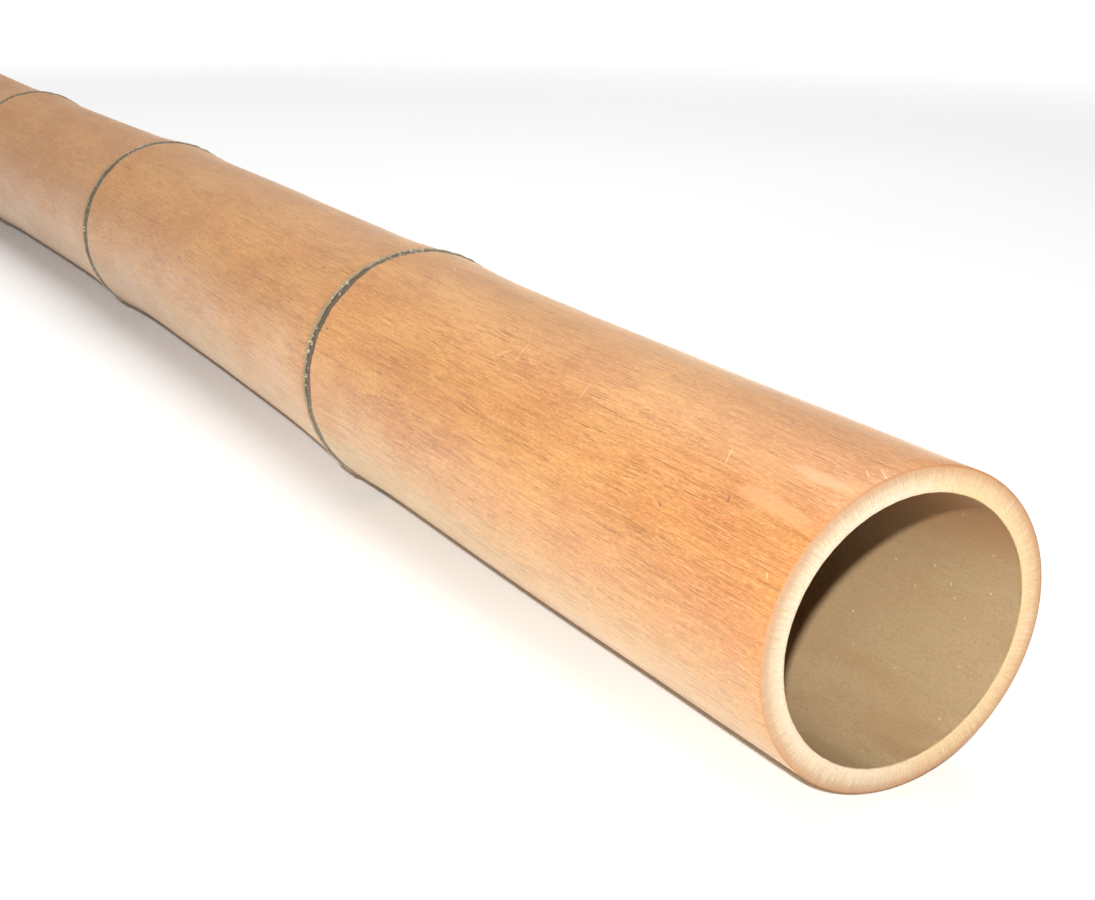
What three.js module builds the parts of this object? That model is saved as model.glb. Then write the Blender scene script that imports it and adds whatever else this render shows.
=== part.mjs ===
// A length of large timber bamboo lying on the ground.
// One hollow culm, grown as one piece: the skin steps down at each node, where the sheath left a thin raised
// scar ring, and a woody diaphragm crosses the bore. Both ends are sawn, and their outer edges are sanded round.
// Units are millimetres, +Z is up, the thick butt end points to +X and the lowest rings touch z = 0.
// Stations are distances from the butt cut, measured along the culm towards its tip.
import * as THREE from "three";

const LENGTH = 1500;
const NODE_STATIONS = [328, 688, 975, 1285];
const INTERNODE_RADII = [49.85, 48.45, 47.1, 45.9, 44.9]; // outside radius half way between nodes
const INTERNODE_TAPER = 0.0014; // loss of radius per millimetre inside one internode
const BUTT_WALL = 8.15;
const TIP_WALL = 6.9;

const SHOULDER_RISE = 1.4; // swelling below the scar ring, over the internode's own radius
const SHOULDER_LENGTH = 30;
const COLLAR_RISE = 2; // swelling above the scar ring, over the next internode's radius
const COLLAR_LENGTH = 42;
const RING_HEIGHT = 0.9;
const RING_WIDTH = 3.6;

const DIAPHRAGM_THICKNESS = 5;
const DIAPHRAGM_SETBACK = 5; // the diaphragm sits this far to the tip side of the scar ring
const DIAPHRAGM_FILLET = 13;
const DIAPHRAGM_DOME = 2.5;
const PIERCED_RADIUS = 7; // rod hole through each diaphragm, which lets the culm dry

const EDGE_ACROSS = 3.6; // the sanded outer edge of a sawn end crowns over this much of the wall
const EDGE_BACK = 0.7; // and falls back this far
const EDGE_STEPS = 4;
const BUTT_CUT_TILT = { side: -0.018, up: 0.063 }; // the butt cut is a little off square
const TIP_CUT_TILT = { side: -0.02, up: 0.015 };
const CUT_TILT_REACH = 60;

const SWAY = 2.5; // sideways wave of the culm's centre line
const SWAY_WAVE = 805;
const SWAY_START = 28;
const SEGMENTS = 48;

const lerp = THREE.MathUtils.lerp;
const smoothstep = THREE.MathUtils.smoothstep;

// Number of the internode that holds a station, 0 at the butt.
function internodeAt(station) {
  return NODE_STATIONS.filter((node) => station > node).length;
}

// Outside radius of an internode, without the swelling at its nodes.
function plainRadius(internode, station) {
  const from = internode ? NODE_STATIONS[internode - 1] : 0;
  const to = NODE_STATIONS[internode] ?? LENGTH;
  return INTERNODE_RADII[internode] - INTERNODE_TAPER * (station - (from + to) / 2);
}

function swelling(rise, distance, length) {
  return rise * Math.exp(-((distance / length) ** 2));
}

// Outside radius with the shoulder before the next node and the collar after the last one.
function skinRadius(internode, station) {
  let radius = plainRadius(internode, station);
  if (internode < NODE_STATIONS.length)
    radius += swelling(SHOULDER_RISE, NODE_STATIONS[internode] - station, SHOULDER_LENGTH);
  if (internode > 0)
    radius += swelling(COLLAR_RISE, station - NODE_STATIONS[internode - 1], COLLAR_LENGTH);
  return radius;
}

function crestRadius(node) {
  return skinRadius(node, NODE_STATIONS[node]) + RING_HEIGHT;
}

function boreRadius(station) {
  const wall = lerp(BUTT_WALL, TIP_WALL, station / LENGTH);
  return plainRadius(internodeAt(station), station) - wall;
}

const profile = [];

function addPoint(radius, station) {
  profile.push(new THREE.Vector2(radius, station));
}

// Crowned edge from the flat cut to the skin (inwards 1), or from the skin to the flat cut (inwards -1).
function addCrownedEdge(radius, cut, inwards) {
  const steps = [...Array(EDGE_STEPS + 1).keys()];
  if (inwards < 0) steps.reverse();
  for (const step of steps) {
    const angle = (step / EDGE_STEPS) * (Math.PI / 2);
    const r = radius - EDGE_ACROSS * (1 - Math.sin(angle));
    addPoint(r, cut + inwards * EDGE_BACK * (1 - Math.cos(angle)));
  }
}

function addScarRing(node) {
  const at = NODE_STATIONS[node];
  const half = RING_WIDTH / 2;
  addPoint(skinRadius(node, at - half), at - half);
  addPoint(crestRadius(node), at - half * 0.4);
  addPoint(crestRadius(node), at + half * 0.3);
  addPoint(skinRadius(node + 1, at + half), at + half);
}

function addSkin() {
  addCrownedEdge(plainRadius(0, 0), 0, 1);
  NODE_STATIONS.forEach((at, node) => {
    for (const back of [62, 38, 18]) addPoint(skinRadius(node, at - back), at - back);
    addScarRing(node);
    for (const on of [12, 28, 48, 80]) addPoint(skinRadius(node + 1, at + on), at + on);
  });
  addCrownedEdge(plainRadius(NODE_STATIONS.length, LENGTH), LENGTH, -1);
}

// One side of a diaphragm, from the bore wall round the fillet to the rod hole.
function diaphragmSide(node, side) {
  const middle = NODE_STATIONS[node] + DIAPHRAGM_SETBACK;
  const face = middle + (side * DIAPHRAGM_THICKNESS) / 2;
  const wall = boreRadius(face + side * DIAPHRAGM_FILLET);
  const dome = (radius) => DIAPHRAGM_DOME * (1 - (radius / wall) ** 2);
  const points = [0, 45, 90].map((degrees) => {
    const angle = THREE.MathUtils.degToRad(degrees);
    const radius = wall - DIAPHRAGM_FILLET * (1 - Math.cos(angle));
    const station = face + side * DIAPHRAGM_FILLET * (1 - Math.sin(angle));
    return new THREE.Vector2(radius, station + dome(radius));
  });
  points.push(new THREE.Vector2(PIERCED_RADIUS, face + dome(PIERCED_RADIUS)));
  return points;
}

function addBore() {
  addPoint(boreRadius(LENGTH), LENGTH);
  for (let node = NODE_STATIONS.length - 1; node >= 0; node--) {
    profile.push(...diaphragmSide(node, 1));
    profile.push(...diaphragmSide(node, -1).reverse());
  }
  addPoint(boreRadius(0), 0);
}

// Height of the centre line. The culm lies on its scar rings, so it leans down towards the thin end.
function liftAt(station) {
  const last = NODE_STATIONS.length - 1;
  const run = NODE_STATIONS[last] - NODE_STATIONS[0];
  const lean = (crestRadius(0) - crestRadius(last)) / run;
  return crestRadius(0) - lean * (station - NODE_STATIONS[0]);
}

function swayAt(station) {
  return -SWAY * Math.sin((2 * Math.PI * (station - SWAY_START)) / SWAY_WAVE);
}

// How far a point near an end moves along the culm because the saw cut isn't square.
function cutShift(station, side, up) {
  const butt = 1 - smoothstep(station, EDGE_BACK, CUT_TILT_REACH);
  const tip = smoothstep(station, LENGTH - CUT_TILT_REACH, LENGTH - EDGE_BACK);
  return (
    butt * (BUTT_CUT_TILT.side * side + BUTT_CUT_TILT.up * up) +
    tip * (TIP_CUT_TILT.side * side + TIP_CUT_TILT.up * up)
  );
}

// The lathe turns about its own y axis. This lays it along X with the butt at +X and bends it.
function layDown(geometry) {
  const position = geometry.getAttribute("position");
  for (let i = 0; i < position.count; i++) {
    const station = position.getY(i);
    const side = position.getX(i);
    const up = position.getZ(i);
    position.setXYZ(
      i,
      LENGTH / 2 - station + cutShift(station, side, up),
      side + swayAt(station),
      up + liftAt(station),
    );
  }
  geometry.computeVertexNormals();
}

addSkin();
addBore();
addPoint(profile[0].x, profile[0].y);

const geometry = new THREE.LatheGeometry(profile, SEGMENTS, Math.PI / SEGMENTS);
layDown(geometry);
geometry.computeBoundingBox();
const centre = geometry.boundingBox.getCenter(new THREE.Vector3());

const skin = new THREE.MeshStandardMaterial({ color: 0xcf915c, roughness: 0.42, metalness: 0 });
const culm = new THREE.Mesh(geometry, skin);
culm.name = "culm";
culm.position.set(-centre.x, -centre.y, -geometry.boundingBox.min.z);

const cane = new THREE.Group();
cane.name = "bamboo_cane";
cane.add(culm);

export default cane;
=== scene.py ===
"""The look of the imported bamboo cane: one finely meshed culm with its skin, scar rings, sawn ends and bore.

The culm's dimensions repeat the CAD source, in millimetres. A station is a distance from the butt cut along
the culm. An angle goes round it from its top, positive towards +Y, and is in degrees where a mark gives it.
"""

import math

import bpy
import numpy as np
from mathutils import Matrix, Vector


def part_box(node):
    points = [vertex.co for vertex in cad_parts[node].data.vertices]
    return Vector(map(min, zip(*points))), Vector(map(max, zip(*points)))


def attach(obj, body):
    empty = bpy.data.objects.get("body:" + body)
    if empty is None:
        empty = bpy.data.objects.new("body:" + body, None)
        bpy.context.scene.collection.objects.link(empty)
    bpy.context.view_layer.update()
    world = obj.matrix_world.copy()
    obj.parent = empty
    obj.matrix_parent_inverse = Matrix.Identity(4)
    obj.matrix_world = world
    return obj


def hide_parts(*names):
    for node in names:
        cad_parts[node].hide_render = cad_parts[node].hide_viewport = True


LENGTH = 1500.0
NODE_STATIONS = (328.0, 688.0, 975.0, 1285.0)
INTERNODE_RADII = (49.85, 48.45, 47.1, 45.9, 44.9)
INTERNODE_TAPER = 0.0014
BUTT_WALL = 8.15
TIP_WALL = 6.9
SHOULDER_RISE = 1.4
SHOULDER_LENGTH = 30.0
COLLAR_RISE = 2.0
COLLAR_LENGTH = 42.0
RING_HEIGHT = 0.9
DIAPHRAGM_THICKNESS = 5.0
DIAPHRAGM_SETBACK = 5.0
DIAPHRAGM_FILLET = 13.0
DIAPHRAGM_DOME = 2.5
PIERCED_RADIUS = 7.0
EDGE_ACROSS = 3.6
EDGE_BACK = 0.7
BUTT_CUT_TILT = (-0.018, 0.063)
TIP_CUT_TILT = (-0.02, 0.015)
CUT_TILT_REACH = 60.0
SWAY = 2.5
SWAY_WAVE = 805.0
SWAY_START = 28.0
CAD_FLATS = 48  # the CAD culm has this many flats, and the round skin fits inside them

AROUND = 224  # faces round the culm
SKIN_STEP = 9.0  # longest face along the skin
BORE_STEP = 32.0
BEFORE_NODE, STEP_BEFORE_NODE = 40.0, 4.0  # the swelling on each side of a scar ring has shorter faces
AFTER_NODE, STEP_AFTER_NODE = 60.0, 4.5
EDGE_FACES = 12  # faces over the crowned edge of a sawn end
INNER_EDGE = 0.3  # softening of a sawn end's edge at the bore
MAP_RADIUS = 50.0  # patterns are laid out as if on a culm of this radius

SKIN, CUT, BORE = range(3)


# ---- the culm's own shape ----


def internode_at(station):
    return sum(station > node for node in NODE_STATIONS)


def plain_radius(internode, station):
    start = NODE_STATIONS[internode - 1] if internode else 0.0
    end = NODE_STATIONS[internode] if internode < len(NODE_STATIONS) else LENGTH
    return INTERNODE_RADII[internode] - INTERNODE_TAPER * (station - (start + end) / 2)


def swelling(rise, distance, length):
    return rise * math.exp(-((distance / length) ** 2))


def skin_radius(internode, station):
    radius = plain_radius(internode, station)
    if internode < len(NODE_STATIONS):
        radius += swelling(SHOULDER_RISE, NODE_STATIONS[internode] - station, SHOULDER_LENGTH)
    if internode > 0:
        radius += swelling(COLLAR_RISE, station - NODE_STATIONS[internode - 1], COLLAR_LENGTH)
    return radius


def crest_radius(node):
    return skin_radius(node, NODE_STATIONS[node]) + RING_HEIGHT


def bore_radius(station):
    wall = BUTT_WALL + (TIP_WALL - BUTT_WALL) * station / LENGTH
    return plain_radius(internode_at(station), station) - wall


def steps(start, end, longest):
    """Evenly spaced stations from start to end, both left out."""
    count = max(1, math.ceil(abs(end - start) / longest))
    return [start + (end - start) * i / count for i in range(1, count)]


def crowned_edge(radius, cut, inwards):
    """Rows (radius, station) of a sanded outer edge, from the flat cut to the skin."""
    rows = []
    for i in range(EDGE_FACES + 1):
        angle = i / EDGE_FACES * math.pi / 2
        across = radius - EDGE_ACROSS * (1 - math.sin(angle))
        rows.append((across, cut + inwards * EDGE_BACK * (1 - math.cos(angle))))
    return rows


# distance from the node, share of the ring's height
RING_SHAPE = (
    (-3.4, 0.0), (-2.4, 0.02), (-1.8, 0.1), (-1.35, 0.4), (-1.05, 0.72), (-0.6, 0.84), (-0.1, 1.0),
    (0.35, 0.95), (0.8, 0.75), (1.2, 0.5), (1.6, 0.2), (2.0, 0.02), (2.6, -0.1), (3.2, 0.0),
)


def ring_rows(node):
    """Rows across one scar ring: a steep butt side, a crest, and a softer tip side with a faint groove."""
    at = NODE_STATIONS[node]
    rows = []
    for offset, share in RING_SHAPE:
        internode = node if offset < 0 else node + 1
        radius = skin_radius(internode, at + offset)
        full = crest_radius(node) - radius
        rows.append((radius + share * (full if share > 0 else RING_HEIGHT), at + offset))
    return rows


def skin_rows():
    rows = []
    ring_start, ring_end = RING_SHAPE[0][0], RING_SHAPE[-1][0]
    last = EDGE_BACK
    for node, at in enumerate(NODE_STATIONS):
        finer = at - BEFORE_NODE
        for station in steps(last, finer, SKIN_STEP) + steps(finer, at + ring_start, STEP_BEFORE_NODE):
            rows.append((skin_radius(node, station), station))
        rows += ring_rows(node)
        last = at + AFTER_NODE
        for station in steps(at + ring_end, last, STEP_AFTER_NODE):
            rows.append((skin_radius(node + 1, station), station))
    for station in steps(last, LENGTH - EDGE_BACK, SKIN_STEP):
        rows.append((skin_radius(len(NODE_STATIONS), station), station))
    return rows


def diaphragm_rows(node, side):
    """Rows of one side of a diaphragm, from the bore wall round the fillet to the rod hole."""
    middle = NODE_STATIONS[node] + DIAPHRAGM_SETBACK
    face = middle + side * DIAPHRAGM_THICKNESS / 2
    wall = bore_radius(face + side * DIAPHRAGM_FILLET)
    rows = []
    for i in range(7):
        angle = i / 6 * math.pi / 2
        radius = wall - DIAPHRAGM_FILLET * (1 - math.cos(angle))
        rows.append((radius, face + side * DIAPHRAGM_FILLET * (1 - math.sin(angle))))
    rim = rows[-1][0]
    for i in range(1, 5):
        rows.append((rim + (PIERCED_RADIUS - rim) * i / 4, face))
    return [(r, s + DIAPHRAGM_DOME * (1 - (r / wall) ** 2)) for r, s in rows]


def bore_rows():
    """Rows of the bore from the tip back to the butt, over each diaphragm."""
    rows = []
    last = LENGTH
    for node in reversed(range(len(NODE_STATIONS))):
        far = diaphragm_rows(node, 1)
        near = diaphragm_rows(node, -1)
        rows += [(bore_radius(s), s) for s in steps(last, far[0][1], BORE_STEP)]
        rows += far + near[::-1]
        last = near[0][1]
    rows += [(bore_radius(s), s) for s in steps(last, 12.0, BORE_STEP)]
    return rows + [(bore_radius(s), s) for s in (12.0, 5.0, 2.0, 0.9)]


def cut_rows(cut, inwards):
    """Rows of one sawn end from the bore to the skin, with a small softened inner edge."""
    inner = bore_radius(cut)
    outer = plain_radius(internode_at(cut), cut)
    soft = INNER_EDGE
    flat = outer - EDGE_ACROSS
    rows = [(inner, cut + inwards * soft), (inner + 0.1, cut + inwards * 0.1), (inner + soft, cut)]
    rows += [(inner + soft + (flat - inner - soft) * i / 5, cut) for i in range(1, 5)]
    return rows + crowned_edge(outer, cut, inwards)


def profile():
    """The closed section of the wall: each row's radius, station, zone and share across from the bore."""
    butt, tip = cut_rows(0.0, 1), cut_rows(LENGTH, -1)
    zones = [(butt, CUT), (skin_rows(), SKIN), (tip[::-1], CUT), (bore_rows(), BORE)]
    radius, station, zone, across = [], [], [], []
    for rows, kind in zones:
        inner, outer = bore_radius(rows[0][1]), plain_radius(internode_at(rows[0][1]), rows[0][1])
        for r, s in rows:
            radius.append(r)
            station.append(s)
            zone.append(kind)
            share = (r - inner) / (outer - inner) if kind == CUT else float(kind == SKIN)
            across.append(share)
    return tuple(np.array(values) for values in (radius, station, zone, across))


def ripple(station, angle, seed, waves, lengths, turns):
    """Smooth unevenness over the culm, mostly within -1 to 1, that closes round it."""
    rng = np.random.default_rng(seed)
    total = np.zeros(np.broadcast(station, angle).shape)
    for _ in range(waves):
        turn = rng.integers(turns[0], turns[1] + 1)
        length = rng.uniform(*lengths) * rng.choice((-1, 1))
        phase = rng.uniform(0, 2 * math.pi)
        total += np.sin(turn * angle + 2 * math.pi * station / length + phase)
    return total / math.sqrt(waves / 2) / 2


def node_gap(station):
    """Signed distance to the nearest node, negative on its butt side."""
    gaps = np.stack([station - node for node in NODE_STATIONS])
    return np.take_along_axis(gaps, np.abs(gaps).argmin(0)[None], 0)[0]


def roughened(radius, station, zone, across, angle):
    """The section's radius with the unevenness of a grown culm, which takes wood away."""
    uneven = 0.09 * (1 + ripple(station, angle, 3, 9, (70, 260), (2, 9)))
    flatter = 0.14 * (1 - np.cos(2 * angle))
    gap = node_gap(station)
    crest = np.exp(-((gap / 1.8) ** 2))
    worn = 0.22 * (1 + ripple(station * 40, angle, 5, 14, (300, 900), (9, 70)))
    skin_loss = flatter + uneven * (1 - crest) + worn * crest
    wrinkles = 0.12 * (1 + ripple(station, angle, 8, 12, (60, 400), (3, 28)))
    chipped = 0.05 * (1 + ripple(station, angle, 13, 16, (200, 900), (8, 60)))
    loss = np.where(zone == SKIN, skin_loss, np.where(zone == BORE, -wrinkles, 0.0))
    at_cut = flatter * across + 0.09 * across - chipped * (1 - across)
    return radius - np.where(zone == CUT, at_cut, loss)


def smoothstep(value, low, high):
    share = np.clip((value - low) / (high - low), 0, 1)
    return share * share * (3 - 2 * share)


def laid_down(radius, station, angle):
    """Points of the culm lying along X with its butt at +X, before it is lined up with the CAD box."""
    side, up = radius * np.sin(angle), radius * np.cos(angle)
    lean = (crest_radius(0) - crest_radius(3)) / (NODE_STATIONS[3] - NODE_STATIONS[0])
    butt = 1 - smoothstep(station, EDGE_BACK, CUT_TILT_REACH)
    tip = smoothstep(station, LENGTH - CUT_TILT_REACH, LENGTH - EDGE_BACK)
    shift = butt * (BUTT_CUT_TILT[0] * side + BUTT_CUT_TILT[1] * up)
    shift = shift + tip * (TIP_CUT_TILT[0] * side + TIP_CUT_TILT[1] * up)
    sway = -SWAY * np.sin(2 * math.pi * (station - SWAY_START) / SWAY_WAVE)
    lift = crest_radius(0) - lean * (station - NODE_STATIONS[0])
    return np.stack([LENGTH / 2 - station + shift, side + sway, up + lift], -1)


# ---- the mesh ----


def row_places(station, radius, band):
    """The length run up to each row along the section, with more room for the scar rings."""
    places = np.zeros(len(station) + 1)
    after = np.roll(station, -1), np.roll(radius, -1)
    length = np.hypot(after[0] - station, after[1] - radius)
    gap = np.abs(node_gap((station + after[0]) / 2))
    length = length * np.where(band == SKIN, 1 + 5 * np.exp(-((gap / 4) ** 2)), 1)
    places[1:] = np.cumsum(length)
    return places


def build_culm(box):
    """One closed mesh of the culm, with the attributes that its materials read.

    fibre: the station, and the place round a culm of MAP_RADIUS.
    section: the place in the cross-section, and the station.
    place: the share across the wall from the bore, and the distance to the nearest node, plain and signed.
    """
    radius, station, zone, across = profile()
    rows = len(radius)
    angle = -math.pi + 2 * math.pi * np.arange(AROUND) / AROUND
    r, s, z, a = (v[:, None] for v in (radius, station, zone, across))
    fit = math.cos(math.pi / CAD_FLATS)
    surface = roughened(r, s, z, a, angle[None]) * fit
    points = laid_down(surface, s, angle[None]).reshape(-1, 3)
    low, high = points.min(0), points.max(0)
    middle = (np.array(box[0]) + np.array(box[1])) * 500
    shift = middle - (low + high) / 2
    shift[2] = box[0].z * 1000 - low[2]
    points += shift

    row = np.arange(rows)[:, None]
    col = np.arange(AROUND)[None]
    this_row, next_row = row * AROUND, (row + 1) % rows * AROUND
    next_col = (col + 1) % AROUND
    corners = [this_row + col, this_row + next_col, next_row + next_col, next_row + col]
    quads = np.stack(corners, -1).reshape(-1, 4)

    mesh = bpy.data.meshes.new("bamboo_culm")
    mesh.vertices.add(len(points))
    mesh.vertices.foreach_set("co", (points / 1000).astype(np.float32).ravel())
    mesh.loops.add(quads.size)
    mesh.loops.foreach_set("vertex_index", quads.astype(np.int32).ravel())
    mesh.polygons.add(len(quads))
    mesh.polygons.foreach_set("loop_start", np.arange(0, quads.size, 4, dtype=np.int32))
    mesh.polygons.foreach_set("loop_total", np.full(len(quads), 4, dtype=np.int32))

    after = np.roll(zone, -1)
    band = np.where((zone == SKIN) | (after == SKIN), SKIN, np.where(zone == after, zone, BORE))
    slots = np.repeat(band, AROUND).astype(np.int32)
    mesh.polygons.foreach_set("material_index", slots)
    mesh.polygons.foreach_set("use_smooth", np.ones(len(quads), dtype=bool))

    grid_s = np.broadcast_to(s, (rows, AROUND))
    grid_a = np.broadcast_to(angle[None], (rows, AROUND))
    gap = np.clip(np.abs(node_gap(grid_s)), 0, 30)
    side = np.clip(node_gap(grid_s), -8, 8) * (1 - smoothstep(gap, 12, 20))
    add_attribute(mesh, "fibre", grid_s, MAP_RADIUS * np.sin(grid_a), MAP_RADIUS * np.cos(grid_a))
    add_attribute(mesh, "section", surface * np.sin(grid_a), surface * np.cos(grid_a), grid_s)
    add_attribute(mesh, "place", np.broadcast_to(a, grid_s.shape), gap, side)
    add_bake_map(mesh, radius, station, band)
    mesh.update(calc_edges=True)
    mesh.validate()
    culm = bpy.data.objects.new("bamboo_culm", mesh)
    bpy.context.scene.collection.objects.link(culm)
    return culm, shift


def add_attribute(mesh, name, x, y, z):
    attribute = mesh.attributes.new(name, "FLOAT_VECTOR", "POINT")
    attribute.data.foreach_set("vector", np.stack([x, y, z], -1).astype(np.float32).ravel())


def add_bake_map(mesh, radius, station, band):
    """A flat UV layout: a field each for skin and bore, and a strip for each cut."""
    places = row_places(station, radius, band)
    rows = len(radius)
    butt = band == CUT
    butt[rows // 4 :] = False  # the section starts with the butt cut
    tip = (band == CUT) & ~butt
    fields = (
        (band == SKIN, (0.003, 0.766), (0.004, 0.918)),
        (band == BORE, (0.774, 0.997), (0.004, 0.918)),
        (butt, (0.003, 0.997), (0.925, 0.957)),
        (tip, (0.003, 0.997), (0.964, 0.996)),
    )
    uv = np.zeros((rows, AROUND, 4, 2), np.float32)
    col = np.arange(AROUND) / AROUND
    for picked, (u0, u1), (v0, v1) in fields:
        index = np.flatnonzero(picked)
        start, end = places[index[0]], places[index[-1] + 1]
        low = v0 + (v1 - v0) * (places[index] - start) / (end - start)
        high = v0 + (v1 - v0) * (places[index + 1] - start) / (end - start)
        left = u0 + (u1 - u0) * col
        right = u0 + (u1 - u0) * (col + 1 / AROUND)
        uv[index, :, 0, 0] = uv[index, :, 3, 0] = left
        uv[index, :, 1, 0] = uv[index, :, 2, 0] = right
        uv[index, :, 0, 1] = uv[index, :, 1, 1] = low[:, None]
        uv[index, :, 2, 1] = uv[index, :, 3, 1] = high[:, None]
    layer = mesh.uv_layers.new(name="OFBake")
    layer.data.foreach_set("uv", uv.ravel())


# ---- materials ----


def linear(code):
    """An sRGB hex colour as linear RGBA."""
    parts = [int(code[i : i + 2], 16) / 255 for i in (0, 2, 4)]
    return [p / 12.92 if p <= 0.04045 else ((p + 0.055) / 1.055) ** 2.4 for p in parts] + [1.0]


class Look:
    """Short ways to build one Principled material from pattern nodes."""

    def __init__(self, name, roughness, sheen=0.0, sheen_tint="ffffff"):
        self.material = bpy.data.materials.new(name)
        self.material.use_nodes = True
        self.tree = self.material.node_tree
        self.surface = self.tree.nodes["Principled BSDF"]
        self.surface.inputs["Roughness"].default_value = roughness
        self.surface.inputs["Sheen Weight"].default_value = sheen
        self.surface.inputs["Sheen Roughness"].default_value = 0.45
        self.surface.inputs["Sheen Tint"].default_value = linear(sheen_tint)

    def put(self, socket, value):
        if isinstance(value, bpy.types.NodeSocket):
            self.tree.links.new(value, socket)
        elif isinstance(value, str):
            socket.default_value = linear(value)
        else:
            socket.default_value = value

    def node(self, kind, values, **settings):
        made = self.tree.nodes.new("ShaderNode" + kind)
        for name, value in settings.items():
            setattr(made, name, value)
        for key, value in values.items():
            self.put(made.inputs[key], value)
        return made

    def attribute(self, name):
        return self.node("Attribute", {}, attribute_name=name).outputs["Vector"]

    def parts(self, vector):
        return self.node("SeparateXYZ", {0: vector}).outputs

    def joined(self, x, y, z=0.0):
        return self.node("CombineXYZ", {0: x, 1: y, 2: z}).outputs[0]

    def math(self, operation, a, b=0.0):
        return self.node("Math", {0: a, 1: b}, operation=operation).outputs[0]

    def vector(self, operation, a, b):
        return self.node("VectorMath", {0: a, 1: b}, operation=operation).outputs[0]

    def stretched(self, vector, along, across):
        """The vector measured in cells of these sizes, in millimetres."""
        return self.vector("MULTIPLY", vector, (1 / along, 1 / across, 1 / across))

    def noise(self, vector, detail=2.0, roughness=0.5, output=0):
        values = {"Vector": vector, "Scale": 1.0, "Detail": detail, "Roughness": roughness}
        return self.node("TexNoise", values).outputs[output]

    def cells(self, vector, output="Distance"):
        return self.node("TexVoronoi", {"Vector": vector, "Scale": 1.0, "Randomness": 1.0}).outputs[output]

    def rise(self, value, low, high, start=0.0, end=1.0):
        """A soft step of the value from start to end as it goes from low to high."""
        values = {"Value": value, "From Min": low, "From Max": high, "To Min": start, "To Max": end}
        return self.node("MapRange", values, interpolation_type="SMOOTHSTEP").outputs[0]

    def mix(self, share, a, b):
        return self.node("Mix", {0: share, 6: a, 7: b}, data_type="RGBA").outputs[2]

    def wandered(self, vector, along, across, reach):
        """The fibre vector pushed sideways by up to about reach, so that the grain isn't ruled straight."""
        push = self.noise(self.stretched(vector, along, across), 2.0, 0.5, 1)
        push = self.vector("SUBTRACT", push, (0.5, 0.5, 0.5))
        push = self.vector("MULTIPLY", push, (0.0, 2 * reach, 2 * reach))
        return self.vector("ADD", vector, push)

    def bump(self, height_mm):
        made = self.node("Bump", {"Height": height_mm, "Distance": 0.001, "Strength": 1.0})
        self.put(self.surface.inputs["Normal"], made.outputs[0])

    def strongest(self, shares):
        """The highest of several shares."""
        highest = 0.0
        for share in shares:
            highest = self.math("MAXIMUM", highest, share)
        return highest

    def finish(self, colour, roughness=None):
        self.put(self.surface.inputs["Base Color"], colour)
        if roughness is not None:
            self.put(self.surface.inputs["Roughness"], roughness)
        return self.material


# station, angle, length, width
PALE_PATCHES = (
    (28.0, -40.5, 20.0, 5.5),
    (14.0, -41.5, 22.0, 5.0),
    (17.0, -25.0, 26.0, 4.5),
    (560.0, -20.0, 60.0, 9.0),
    (1120.0, 25.0, 70.0, 10.0),
    (210.0, 70.0, 46.0, 9.0),
    (800.0, 120.0, 60.0, 9.0),
)
# station, angle, length, slant from the culm's length
SCRATCHES = (
    (51.5, -32.0, 7.0, 58.0),
    (8.2, -62.0, 3.0, 50.0),
    (3.2, -13.0, 8.0, 24.0),
    (7.5, -15.5, 5.0, 30.0),
    (134.0, -32.6, 8.0, 70.0),
    (183.0, -29.0, 10.0, 64.0),
    (192.0, -34.0, 9.0, -50.0),
    (292.5, 2.3, 7.0, 20.0),
    (240.0, 40.0, 14.0, 62.0),
    (610.0, 75.0, 12.0, 48.0),
    (860.0, -110.0, 15.0, 70.0),
    (1180.0, -20.0, 10.0, 55.0),
)
DARK_SPECKS = (
    (38.0, -46.0, 3.2, 62.0),
    (189.7, -34.8, 2.6, 40.0),
    (63.0, -58.0, 3.0, 20.0),
    (323.5, -59.0, 6.0, 78.0),
    (420.0, 60.0, 3.0, 35.0),
)


def spot(look, unrolled, station, angle, length, width, ragged):
    """A soft-edged oval mark on the skin, 1 in its middle. Length runs along the culm."""
    middle = (station, MAP_RADIUS * math.radians(angle), 0.0)
    away = look.vector("SUBTRACT", unrolled, middle)
    away = look.vector("MULTIPLY", away, (2 / length, 2 / width, 0.0))
    size = look.node("VectorMath", {0: away}, operation="LENGTH").outputs["Value"]
    size = look.math("ADD", size, ragged)
    return look.rise(size, 1.25, 0.55)


def scratch(look, unrolled, station, angle, length, slant, width):
    """A thin straight mark on the skin, slanted in degrees from the culm's length."""
    c, s = math.cos(math.radians(slant)), math.sin(math.radians(slant))
    middle = (station, MAP_RADIUS * math.radians(angle), 0.0)
    away = look.vector("SUBTRACT", unrolled, middle)
    along = look.node("VectorMath", {0: away, 1: (c, s, 0)}, operation="DOT_PRODUCT").outputs["Value"]
    off = look.node("VectorMath", {0: away, 1: (-s, c, 0)}, operation="DOT_PRODUCT").outputs["Value"]
    near = look.rise(look.math("ABSOLUTE", off), width, width * 0.2)
    within = look.rise(look.math("ABSOLUTE", along), length / 2, length / 2 - 1.0)
    return look.math("MULTIPLY", near, within)


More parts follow.
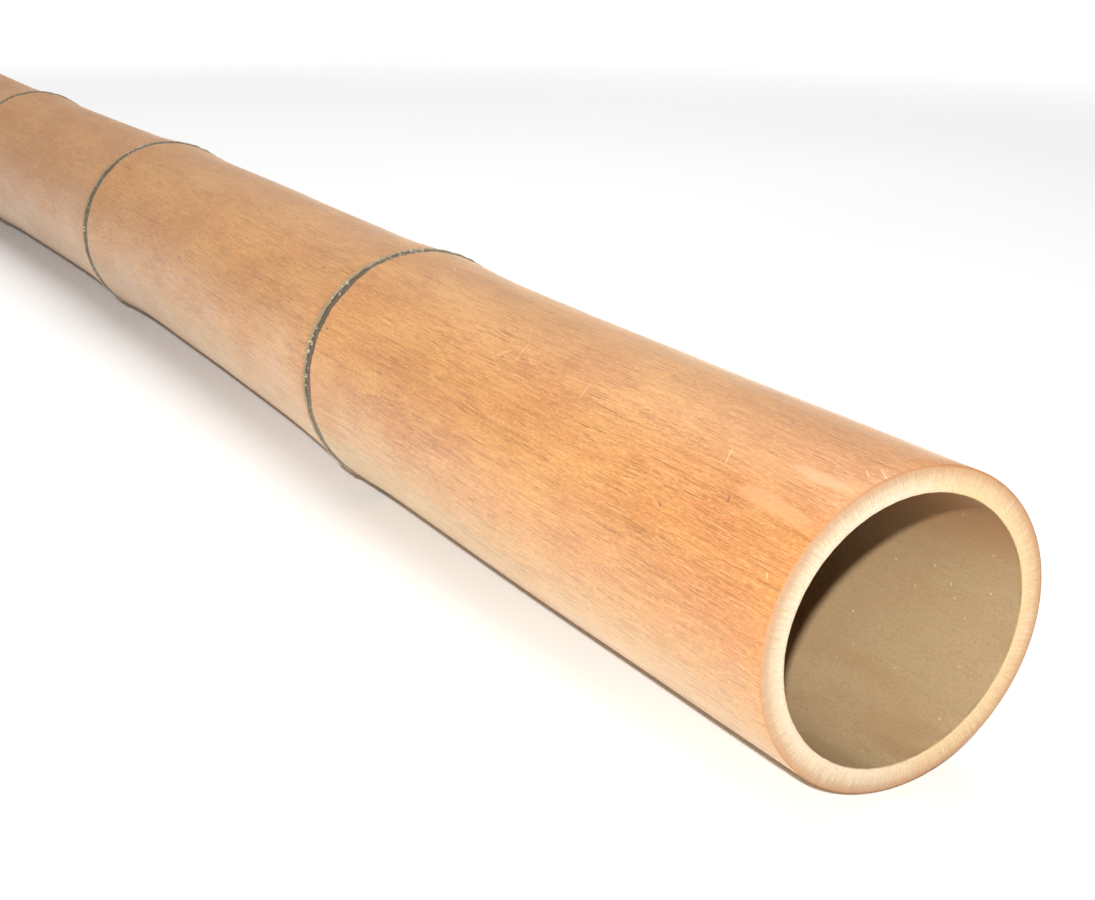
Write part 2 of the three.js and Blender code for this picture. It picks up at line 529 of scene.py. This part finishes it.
def skin_material():
    look = Look("bamboo_skin", 0.4, 0.26, "fff0dc")
    fibre = look.attribute("fibre")
    station, y, z = look.parts(fibre)
    place = look.parts(look.attribute("place"))
    turn = look.math("ARCTAN2", y, z)
    unrolled = look.joined(station, look.math("MULTIPLY", turn, MAP_RADIUS))
    grain = look.wandered(fibre, 70, 24, 1.8)
    grain = look.wandered(grain, 14, 5, 0.25)

    cloud = look.noise(look.stretched(grain, 85, 26), 3.0, 0.55)
    colour = look.mix(look.rise(cloud, 0.36, 0.66), "cd9356", "bd8048")
    warm = look.noise(look.stretched(grain, 44, 17), 2.0, 0.5)
    colour = look.mix(look.rise(warm, 0.5, 0.74, 0, 0.4), colour, "c4824f")
    amber = look.noise(look.stretched(grain, 30, 11), 2.0, 0.5)
    colour = look.mix(look.rise(amber, 0.5, 0.7, 0, 0.36), colour, "d6a05c")

    # painted shade: darker away from the butt, where the lamp's light falls off, and darker at its sawn edge,
    # where the lamp is nearest
    colour = look.mix(look.rise(station, 300, 800, 0, 0.4), colour, "a86e40")
    colour = look.mix(look.rise(station, 120, 8, 0, 0.6), colour, "b5743e")

    # olive bands low down, and past the first node painted shade that darkens the low side towards brown
    bands = look.noise(look.stretched(grain, 190, 5.5), 3.0, 0.6)
    low_side = look.rise(z, 4, -26)
    olive = look.math("MULTIPLY", look.rise(bands, 0.36, 0.58, 0.45, 1.0), low_side)
    colour = look.mix(look.math("MULTIPLY", olive, 0.8), colour, "b39862")
    painted_low_shade = look.math("MULTIPLY", low_side, look.rise(station, 340, 620, 0, 0.6))
    colour = look.mix(painted_low_shade, colour, "946439")

    ragged = look.math("SUBTRACT", look.noise(look.stretched(grain, 12, 6), 2.0, 0.5), 0.5)
    pale = look.strongest([spot(look, unrolled, *patch, ragged) for patch in PALE_PATCHES])
    rough_grain = look.math("SUBTRACT", 1.0, look.math("MULTIPLY", pale, 0.8))

    # grain, from long streaks down to grit
    long_streaks = look.noise(look.stretched(grain, 130, 1.6), 2.0, 0.6)
    colour = look.mix(look.rise(long_streaks, 0.5, 0.72, 0, 0.36), colour, "98602f")
    slanted = look.joined(look.math("ADD", station, look.math("MULTIPLY", turn, 9.0)), y, z)
    middle = look.noise(look.stretched(look.wandered(slanted, 70, 24, 1.6), 34, 0.62), 1.0, 0.5)
    colour = look.mix(look.rise(middle, 0.55, 0.78, 0, 0.42), colour, "8e5629")
    fine = look.noise(look.stretched(grain, 15.0, 0.27), 1.0, 0.5)
    crowd = look.noise(look.stretched(grain, 34, 9), 2.0, 0.5)
    fine_share = look.math("MULTIPLY", look.rise(fine, 0.54, 0.72), look.rise(crowd, 0.3, 0.64, 0.35, 0.95))
    fine_share = look.math("MULTIPLY", fine_share, rough_grain)
    colour = look.mix(fine_share, colour, "8a5527")
    light = look.math("MULTIPLY", look.rise(fine, 0.44, 0.28, 0, 0.45), rough_grain)
    colour = look.mix(light, colour, "e2ae78")
    grit = look.noise(look.stretched(grain, 2.4, 0.45), 2.0, 0.7)
    colour = look.mix(look.rise(grit, 0.5, 0.75, 0, 0.5), colour, "955c30")
    colour = look.mix(look.rise(grit, 0.5, 0.25, 0, 0.42), colour, "e3b480")
    colour = look.mix(look.math("MULTIPLY", pale, 0.36), colour, "dca67a")

    # dark specks and pale scratches
    speck_cells = look.stretched(look.wandered(fibre, 6, 3, 0.8), 30, 11)
    speck = look.rise(look.cells(speck_cells), 0.07, 0.03)
    some = look.rise(look.parts(look.cells(speck_cells, "Color"))[0], 0.5, 0.55)
    colour = look.mix(look.math("MULTIPLY", look.math("MULTIPLY", speck, some), 0.6), colour, "74443a")
    specks = look.strongest([scratch(look, unrolled, *mark, 0.8) for mark in DARK_SPECKS])
    colour = look.mix(look.math("MULTIPLY", specks, 0.6), colour, "7d4a4a")
    scratches = look.strongest([scratch(look, unrolled, *mark, 0.3) for mark in SCRATCHES])
    colour = look.mix(look.math("MULTIPLY", scratches, 0.45), colour, "ecd0ae")

    scar = scar_ring(look, fibre, place)
    colour = scar["tint"](colour)

    roughness = look.rise(warm, 0.3, 0.7, 0.36, 0.5)
    roughness = look.math("SUBTRACT", roughness, look.math("MULTIPLY", pale, 0.08))
    roughness = look.math("ADD", roughness, look.math("MULTIPLY", scar["mask"], 0.3))
    height = look.math("MULTIPLY", fine_share, -0.035)
    height = look.math("ADD", height, look.math("MULTIPLY", long_streaks, 0.04))
    height = look.math("ADD", height, look.math("MULTIPLY", scar["rough"], 0.2))
    look.bump(height)
    return look.finish(colour, roughness)


def scar_ring(look, fibre, place):
    """The sheath scar at a node: black olive on its butt side, a grey-green crest, and soot and dust."""
    gap, side = place[1], place[2]
    ragged = look.noise(look.stretched(fibre, 3.0, 2.2), 3.0, 0.65)
    shift = look.math("MULTIPLY", look.math("SUBTRACT", ragged, 0.5), 1.6)
    edge = look.math("ADD", side, shift)

    # the dark band varies in width, and is wider towards -Y
    blotchy = look.noise(look.stretched(fibre, 60, 9), 2.0, 0.5)
    wide = look.rise(blotchy, 0.35, 0.65, -0.6, 0.6)
    wide = look.math("ADD", wide, look.rise(look.parts(fibre)[1], -5, -42, 0, 2.0))
    edge_near = look.math("ADD", edge, wide)
    near = look.rise(gap, 8.0, 6.0)
    dark = look.math("MULTIPLY", look.rise(edge_near, -4.2, -3.3), look.rise(edge, -0.9, -1.7))
    dark = look.math("MULTIPLY", dark, near)
    crest = look.math("MULTIPLY", look.rise(edge, -1.9, -1.1), look.rise(edge, 3.8, 2.6))
    crest = look.math("MULTIPLY", crest, near)
    brown = look.math("MULTIPLY", look.rise(side, -7.6, -3.4), look.rise(side, 7.0, 2.4))
    brown = look.math("MULTIPLY", brown, near)
    soot = look.math("MULTIPLY", brown, look.rise(ragged, 0.38, 0.72, 0.25, 0.8))
    dust_spots = look.noise(look.stretched(fibre, 1.6, 1.1), 1.0, 0.5)
    dusty = look.noise(look.stretched(fibre, 40, 14), 1.0, 0.5)
    dust = look.math("MULTIPLY", look.rise(dust_spots, 0.56, 0.66), look.rise(dusty, 0.46, 0.6))
    dust = look.math("MULTIPLY", dust, look.rise(gap, 4.2, 2.6))

    def tint(colour):
        colour = look.mix(look.math("MULTIPLY", soot, 0.6), colour, "80603c")
        colour = look.mix(look.math("MULTIPLY", crest, 0.8), colour, "847c62")
        colour = look.mix(look.math("MULTIPLY", dark, 0.93), colour, "332d20")
        return look.mix(look.math("MULTIPLY", dust, 0.75), colour, "bdb8a2")

    mask = look.math("MAXIMUM", dark, crest)
    return {"tint": tint, "mask": mask, "rough": look.math("MULTIPLY", mask, ragged)}


def cut_material():
    look = Look("sawn_bamboo", 0.6)
    fibre = look.attribute("fibre")
    section = look.attribute("section")
    across = look.parts(look.attribute("place"))[0]
    _, y, z = look.parts(fibre)
    wobble = look.math("SUBTRACT", look.noise(look.stretched(fibre, 20, 5), 2.0), 0.5)
    depth = look.math("ADD", across, look.math("MULTIPLY", wobble, 0.12))

    cool_side = look.rise(y, 22, -12)
    inner = look.mix(cool_side, "c0a47b", "c2ae95")
    middle = look.mix(cool_side, "bc9c76", "b9a488")
    outer = look.mix(cool_side, "ac8761", "a18466")
    colour = look.mix(look.rise(depth, 0.2, 0.5), inner, middle)
    # the outer part darker: partly denser fibres near the skin, partly painted shade of the crowned edge
    colour = look.mix(look.rise(depth, 0.45, 0.88), colour, outer)

    spokes = look.vector("MULTIPLY", look.joined(across, y, z), (1.3, 2.6, 2.6))
    radial = look.noise(spokes, 2.0, 0.6)
    hatch = look.math("MULTIPLY", look.rise(radial, 0.5, 0.7), look.rise(depth, 0.2, 0.6, 0.1, 0.45))
    colour = look.mix(hatch, colour, "93785c")
    colour = look.mix(look.rise(radial, 0.45, 0.3, 0, 0.3), colour, "d0c4ac")

    bundles = look.cells(look.vector("MULTIPLY", section, (1.15, 1.15, 0.0)))
    ring = look.math("MULTIPLY", look.rise(bundles, 0.34, 0.2), look.rise(depth, 0.95, 0.8, 0, 0.4))
    colour = look.mix(ring, colour, "9c7d50")
    fine = look.cells(look.vector("MULTIPLY", section, (2.6, 2.6, 0.0)))
    fine = look.math("MULTIPLY", look.rise(fine, 0.3, 0.16), look.rise(depth, 0.5, 0.8, 0, 0.4))
    colour = look.mix(fine, colour, "87653f")

    rind = look.math("MULTIPLY", look.rise(depth, 0.86, 0.97), look.rise(y, -40, 30, 0.65, 0.95))
    colour = look.mix(rind, colour, "a0693f")
    stain = look.noise(look.stretched(fibre, 30, 16), 2.0, 0.5)
    stain = look.math("MULTIPLY", look.rise(depth, 0.6, 0.9), look.rise(stain, 0.4, 0.65, 0.1, 0.5))
    colour = look.mix(stain, colour, "a57c57")
    colour = look.mix(look.rise(depth, 0.06, 0.0, 0.0, 0.5), colour, "a08654")
    height = look.math("ADD", look.math("MULTIPLY", radial, 0.05), look.math("MULTIPLY", bundles, 0.08))
    look.bump(height)
    roughness = look.rise(radial, 0.3, 0.7, 0.5, 0.68)
    return look.finish(colour, roughness)


def bore_material():
    look = Look("bamboo_bore", 0.68)
    fibre = look.attribute("fibre")
    section = look.attribute("section")
    station, y, z = look.parts(fibre)
    grain = look.wandered(fibre, 30, 12, 2.5)
    mottled = look.noise(look.stretched(grain, 40, 22), 2.0, 0.5)
    colour = look.mix(look.rise(mottled, 0.36, 0.66), "b29b78", "a98f6b")
    red = look.noise(look.stretched(grain, 60, 24), 2.0, 0.5)
    colour = look.mix(look.rise(red, 0.5, 0.7, 0, 0.4), colour, "a37e56")
    # painted shade and painted light: the +Y wall, which the lamp lights more, is darker and the -Y wall
    # lighter, to even out the lamp's light across the bore
    colour = look.mix(look.rise(y, -5, 42, 0.0, 0.5), colour, "9a825f")
    colour = look.mix(look.rise(y, 4, -40, 0.0, 0.5), colour, "c6ad84")
    # painted shadow: red-brown on the upper wall near the mouth, where the rim's shadow falls
    painted_bore_shadow = look.math("MULTIPLY", look.rise(z, 0, 34), look.rise(station, 260, 60))
    colour = look.mix(look.math("MULTIPLY", painted_bore_shadow, 0.5), colour, "9c6338")
    film = look.noise(look.stretched(grain, 1.3, 0.8), 3.0, 0.6)
    colour = look.mix(look.rise(film, 0.42, 0.75, 0, 0.45), colour, "8e6e4a")
    threads = look.noise(look.stretched(grain, 60, 0.9), 2.0, 0.5)
    colour = look.mix(look.rise(threads, 0.55, 0.75, 0, 0.2), colour, "8c6c46")
    dust_cells = look.stretched(section, 6, 6)
    dust = look.rise(look.cells(dust_cells), 0.085, 0.04)
    some = look.rise(look.parts(look.cells(dust_cells, "Color"))[0], 0.55, 0.6)
    colour = look.mix(look.math("MULTIPLY", look.math("MULTIPLY", dust, some), 0.7), colour, "d2c49c")
    height = look.math("ADD", look.math("MULTIPLY", film, 0.12), look.math("MULTIPLY", threads, 0.08))
    look.bump(height)
    roughness = look.rise(mottled, 0.3, 0.7, 0.58, 0.76)
    return look.finish(colour, roughness)


# ---- the stage ----

VIEW_AZIMUTH = 62.07
VIEW_ELEVATION = 17.97
LENS = 63.5
# the butt cut's middle from the camera, in metres, and from the lamp along the same axes
BUTT_RIGHT, BUTT_UP, BUTT_AHEAD = 0.1007, -0.0469, 0.5406
LAMP_RIGHT, LAMP_UP, LAMP_AHEAD = 0.182, -0.215, 1.176
LAMP_SIZE, LAMP_POWER = 0.035, 26.0
SOFTBOX_SIZE, SOFTBOX_POWER = 2.6, 50.0
SOFTBOX_PLACE = Vector((-0.5, 0.25, 2.2))
SOFTBOX_AIM = Vector((0.12, -0.06, -1.0))
ROOM_AS_LIGHT, ROOM_SEEN = 0.11, 0.95  # the pale room is weak as a light, and near white where it shows


def view_axes():
    azimuth, elevation = math.radians(VIEW_AZIMUTH), math.radians(VIEW_ELEVATION)
    level = math.cos(elevation)
    back = Vector((math.sin(azimuth) * level, -math.cos(azimuth) * level, math.sin(elevation)))
    right = Vector((math.cos(azimuth), math.sin(azimuth), 0.0))
    return right, back.cross(right), -back


def add_camera(butt):
    right, up, ahead = view_axes()
    eye = butt - right * BUTT_RIGHT - up * BUTT_UP - ahead * BUTT_AHEAD
    camera = bpy.data.objects.new("camera", bpy.data.cameras.new("camera"))
    camera.data.lens = LENS
    camera.data.sensor_width = 36.0
    camera.data.shift_y = 0.0146
    camera.data.clip_start = 0.01
    camera.data.clip_end = 50.0
    turn = Matrix((right, up, -ahead)).transposed()
    camera.matrix_world = Matrix.Translation(eye) @ turn.to_4x4()
    bpy.context.scene.collection.objects.link(camera)
    bpy.context.scene.camera = camera


def add_area_light(name, where, towards, size, power, colour):
    light = bpy.data.lights.new(name, "AREA")
    light.shape = "DISK"
    light.size = size
    light.energy = power
    light.color = colour
    lamp = bpy.data.objects.new(name, light)
    lamp.location = where
    lamp.rotation_mode = "QUATERNION"
    lamp.rotation_quaternion = towards.to_track_quat("-Z", "Y")
    bpy.context.scene.collection.objects.link(lamp)


def add_lights(butt):
    """A small lamp behind the camera throws the bore's shadow. A wide softbox and a pale room fill in."""
    right, up, ahead = view_axes()
    key = butt - (right * LAMP_RIGHT + up * LAMP_UP + ahead * LAMP_AHEAD)
    add_area_light("key", key, butt - key, LAMP_SIZE, LAMP_POWER, (1.0, 0.99, 0.97))
    add_area_light("softbox", SOFTBOX_PLACE, SOFTBOX_AIM, SOFTBOX_SIZE, SOFTBOX_POWER, (1.0, 1.0, 1.0))
    world = bpy.data.worlds.new("room")
    bpy.context.scene.world = world
    world.use_nodes = True
    background = world.node_tree.nodes["Background"]
    background.inputs["Color"].default_value = (1.0, 1.0, 1.0, 1.0)
    seen = world.node_tree.nodes.new("ShaderNodeLightPath").outputs["Is Camera Ray"]
    strength = world.node_tree.nodes.new("ShaderNodeMapRange")
    strength.inputs["To Min"].default_value = ROOM_AS_LIGHT
    strength.inputs["To Max"].default_value = ROOM_SEEN
    world.node_tree.links.new(seen, strength.inputs["Value"])
    world.node_tree.links.new(strength.outputs[0], background.inputs["Strength"])


def add_floor():
    """A wide, matt, pale floor that the cane lies on, slightly uneven in tone, with painted light: a glow
    that is faint near the cane and strong far away.
    """
    size = 40.0
    mesh = bpy.data.meshes.new("floor")
    corners = [(-size, -size, 0), (size, -size, 0), (size, size, 0), (-size, size, 0)]
    mesh.from_pydata(corners, [], [(0, 1, 2, 3)])
    floor = bpy.data.objects.new("floor", mesh)
    bpy.context.scene.collection.objects.link(floor)
    look = Look("pale_floor", 0.9)
    look.surface.inputs["Specular IOR Level"].default_value = 0.1
    place = look.node("TexCoord", {}).outputs["Object"]
    tone = look.noise(look.vector("MULTIPLY", place, (1.6, 1.6, 1.6)), 2.0, 0.5)
    mesh.materials.append(look.finish(look.mix(look.rise(tone, 0.3, 0.7), "fafafa", "f6f7f7")))
    # painted light: the floor glows, more the farther it is from the middle
    look.surface.inputs["Emission Color"].default_value = (1.0, 1.0, 1.0, 1.0)
    far = look.node("VectorMath", {0: place}, operation="LENGTH").outputs["Value"]
    look.put(look.surface.inputs["Emission Strength"], look.rise(far, 0.9, 2.3, 0.05, 0.9))


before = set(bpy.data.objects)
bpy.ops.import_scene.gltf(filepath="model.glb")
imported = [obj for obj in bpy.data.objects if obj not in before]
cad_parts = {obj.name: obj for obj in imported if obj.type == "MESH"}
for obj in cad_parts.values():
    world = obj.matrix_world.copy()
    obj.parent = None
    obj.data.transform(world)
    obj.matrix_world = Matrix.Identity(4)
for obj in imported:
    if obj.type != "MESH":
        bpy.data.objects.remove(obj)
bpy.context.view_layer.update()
culm, offset = build_culm(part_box("culm"))
for material in (skin_material(), cut_material(), bore_material()):
    culm.data.materials.append(material)
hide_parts("culm")
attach(culm, "root")

butt_middle = Vector((laid_down(np.zeros(1), np.zeros(1), np.zeros(1))[0] + offset) / 1000)
add_camera(butt_middle)
add_lights(butt_middle)
add_floor()
bpy.context.scene.view_settings.view_transform = "Standard"
